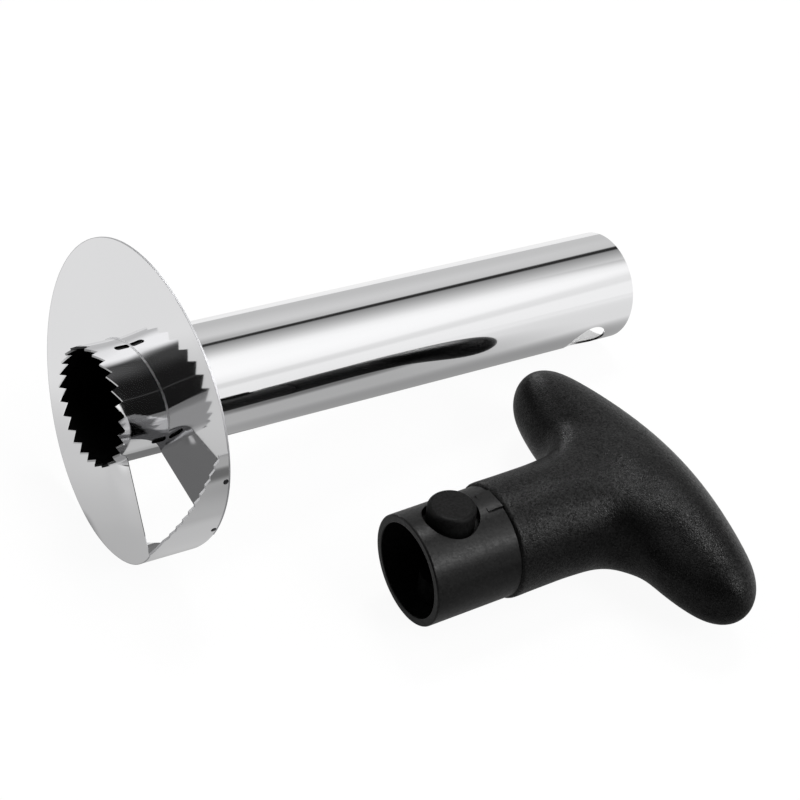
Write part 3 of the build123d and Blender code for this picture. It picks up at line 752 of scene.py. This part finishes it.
# Walls up to the screens' tops, and the ceiling above them
higher = add_node(tree, "ShaderNodeMapRange", SMOOTH, links={"Value": height},
                  values={"From Min": LOW_TO_HIGH[0], "From Max": LOW_TO_HIGH[1]})
walls = add_node(tree, "ShaderNodeMix", {"data_type": "FLOAT"},
                 links={0: higher.outputs["Result"], 2: low_walls, 3: high_walls})
above = add_node(tree, "ShaderNodeMath", {"operation": "SUBTRACT"}, links={0: up_share.outputs[0], 1: tops})
past_top = add_node(tree, "ShaderNodeMapRange", SMOOTH, links={"Value": above.outputs[0]},
                    values={"From Min": -SCREEN_EDGE, "From Max": SCREEN_EDGE})
overhead = add_node(tree, "ShaderNodeMapRange", SMOOTH, links={"Value": height},
                    values={"From Min": CEILING_FROM, "From Max": 90.0,
                            "To Min": CEILING / BRIGHTEST, "To Max": ZENITH / BRIGHTEST})
seen = add_node(tree, "ShaderNodeMix", {"data_type": "FLOAT"},
                links={0: past_top.outputs["Result"], 2: walls.outputs[0],
                       3: overhead.outputs["Result"]}).outputs[0]

for az_from, az_to, rise, at_zero, half_width, adds in LINES:
    line_height = add_node(tree, "ShaderNodeMath", {"operation": "MULTIPLY_ADD"},
                           values={1: rise, 2: at_zero}, links={0: turn})
    over = add_node(tree, "ShaderNodeMath", {"operation": "SUBTRACT"},
                    links={0: height, 1: line_height.outputs[0]})
    away = add_node(tree, "ShaderNodeMath", {"operation": "ABSOLUTE"}, links={0: over.outputs[0]})
    across = add_node(tree, "ShaderNodeMapRange", SMOOTH, links={"Value": away.outputs[0]},
                      values={"From Min": half_width / 4, "From Max": half_width,
                              "To Min": adds / BRIGHTEST, "To Max": 0.0})
    begun = add_node(tree, "ShaderNodeMapRange", SMOOTH, links={"Value": turn},
                     values={"From Min": az_from, "From Max": az_from + LINE_FADES[0]})
    not_ended = add_node(tree, "ShaderNodeMapRange", SMOOTH, links={"Value": turn},
                         values={"From Min": az_to - LINE_FADES[1], "From Max": az_to,
                                 "To Min": 1.0, "To Max": 0.0})
    line = add_node(tree, "ShaderNodeMath", {"operation": "MULTIPLY"},
                    links={0: across.outputs["Result"], 1: begun.outputs["Result"]})
    seen = add_node(tree, "ShaderNodeMath", {"operation": "MULTIPLY_ADD"},
                    links={0: line.outputs[0], 1: not_ended.outputs["Result"], 2: seen}).outputs[0]

for azimuth, elevation, half_width, bright in SPOTS:
    az, el = radians(azimuth), radians(elevation)
    beam = add_node(tree, "ShaderNodeVectorMath", {"operation": "DOT_PRODUCT"},
                    values={1: (cos(el) * cos(az), cos(el) * sin(az), sin(el))},
                    links={0: place.outputs["Generated"]})
    glow = add_node(tree, "ShaderNodeMapRange", SMOOTH, links={"Value": beam.outputs["Value"]},
                    values={"From Min": cos(radians(half_width)), "From Max": cos(radians(half_width / 3)),
                            "To Min": 0.0, "To Max": bright / BRIGHTEST})
    seen = add_node(tree, "ShaderNodeMath", {"operation": "ADD"},
                    links={0: seen, 1: glow.outputs["Result"]}).outputs[0]
room = add_node(tree, "ShaderNodeBackground", values={"Strength": BRIGHTEST}, links={"Color": seen})
plain = add_node(tree, "ShaderNodeBackground", values={"Color": (1, 1, 1, 1), "Strength": 1.0})
path = add_node(tree, "ShaderNodeLightPath")
chosen = add_node(tree, "ShaderNodeMixShader",
                  links={0: path.outputs["Is Camera Ray"], 1: room.outputs["Background"],
                         2: plain.outputs["Background"]})
add_node(tree, "ShaderNodeOutputWorld", links={"Surface": chosen.outputs["Shader"]})

# One soft lamp high over the handle's side
lamp = bpy.data.lights.new("soft_box", "AREA")
lamp.shape = "SQUARE"
lamp.size = 0.6
lamp.energy = 2.5
soft_box = bpy.data.objects.new("soft_box", lamp)
soft_box.location = (-0.20, 0.42, 1.00)
soft_box.rotation_euler = (-soft_box.location).to_track_quat("-Z", "Y").to_euler()
bpy.context.scene.collection.objects.link(soft_box)

# Camera, from above one corner, with a long lens
eye = Vector((284.261, 350.844, 420.814)) * MM
right = Vector((-0.82289, 0.56585, 0.05165))
down = Vector((0.3332, 0.55419, -0.76279))
ahead = Vector((-0.46025, -0.61048, -0.64458))
lens = bpy.data.cameras.new("camera")
lens.lens = 97.168
lens.sensor_width = 36.0
lens.shift_x = 0.0069
lens.shift_y = -0.0063
lens.clip_start = 0.01
lens.clip_end = 20.0
camera = bpy.data.objects.new("camera", lens)
camera.matrix_world = Matrix((
    (right.x, -down.x, -ahead.x, eye.x),
    (right.y, -down.y, -ahead.y, eye.y),
    (right.z, -down.z, -ahead.z, eye.z),
    (0, 0, 0, 1),
))
bpy.context.scene.collection.objects.link(camera)
bpy.context.scene.camera = camera
bpy.context.scene.view_settings.view_transform = "Standard"
